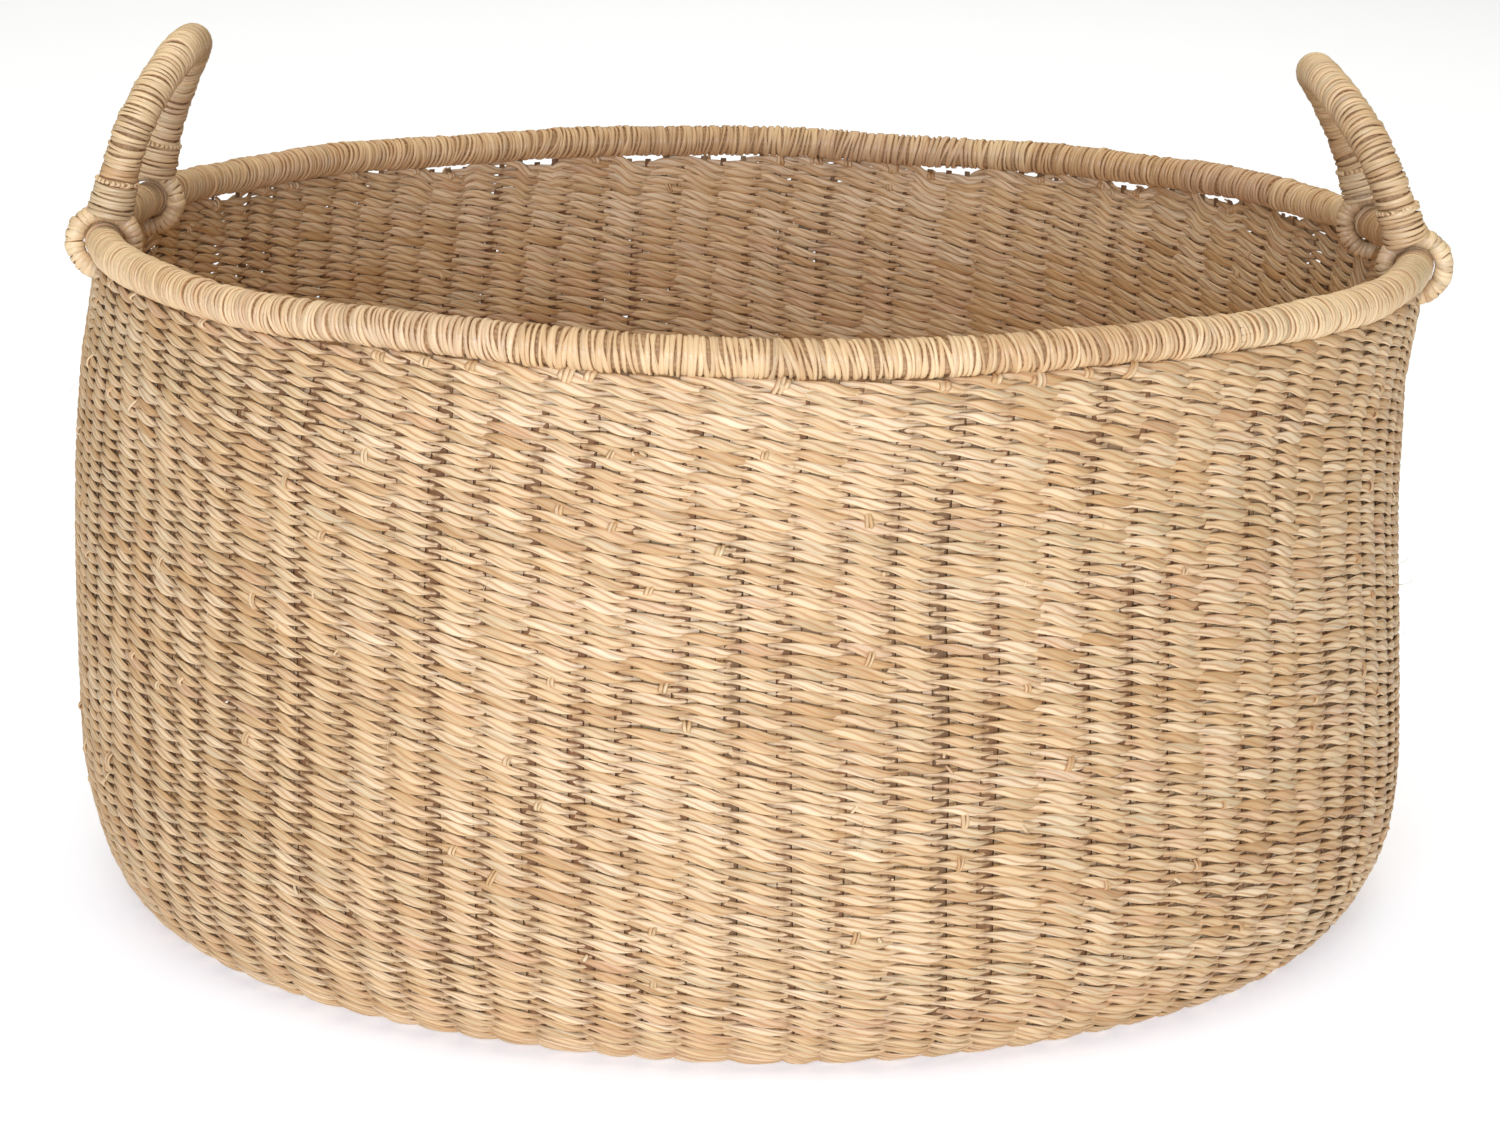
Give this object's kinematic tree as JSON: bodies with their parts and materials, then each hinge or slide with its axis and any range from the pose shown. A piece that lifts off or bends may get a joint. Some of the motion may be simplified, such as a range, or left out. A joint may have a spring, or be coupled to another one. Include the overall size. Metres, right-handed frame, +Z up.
{
  "type": "storage basket",
  "caption": "Large round open basket twined from split straw over upright stakes, with a wrapped rim and two wrapped bail handles that swing on rings round the rim.",
  "frame": {"origin": "centre of the underside of the base, on the surface the basket stands on", "axes": "+Z up, -Y towards the front, handles at the -X (left) and +X (right) ends of the opening"},
  "size_m": [0.7068, 0.704, 0.4431],
  "materials": {
    "woven_straw": "natural satin straw",
    "wrapped_straw": "natural satin straw, tightly wrapped",
    "stake_straw": "matt straw",
    "core_straw": "matt straw bundle"
  },
  "bodies": {
    "basket": {"base_weave": "woven_straw", "base_spokes": "stake_straw", "foot_weave": "woven_straw", "wall_weave": "woven_straw", "wall_stakes": "stake_straw", "rim_core": "core_straw", "rim_wrap": "wrapped_straw"},
    "left_handle": {"left_handle_core": "core_straw", "left_handle_wrap": "wrapped_straw", "left_front_cuff": "wrapped_straw", "left_front_tie": "stake_straw", "left_front_ring_core": "core_straw", "left_front_ring_wrap": "wrapped_straw", "left_rear_cuff": "wrapped_straw", "left_rear_tie": "stake_straw", "left_rear_ring_core": "core_straw", "left_rear_ring_wrap": "wrapped_straw"},
    "right_handle": {"right_handle_core": "core_straw", "right_handle_wrap": "wrapped_straw", "right_front_cuff": "wrapped_straw", "right_front_tie": "stake_straw", "right_front_ring_core": "core_straw", "right_front_ring_wrap": "wrapped_straw", "right_rear_cuff": "wrapped_straw", "right_rear_tie": "stake_straw", "right_rear_ring_core": "core_straw", "right_rear_ring_wrap": "wrapped_straw"}
  },
  "joints": [
    {"name": "left_handle_swing", "type": "hinge", "parent": "basket", "child": "left_handle", "pos_m": [-0.33374, 0, 0.341], "axis": [0, 1, 0], "range_deg": [-111, 79]},
    {"name": "right_handle_swing", "type": "hinge", "parent": "basket", "child": "right_handle", "pos_m": [0.33374, 0, 0.341], "axis": [0, -1, 0], "range_deg": [-117, 73]}
  ]
}
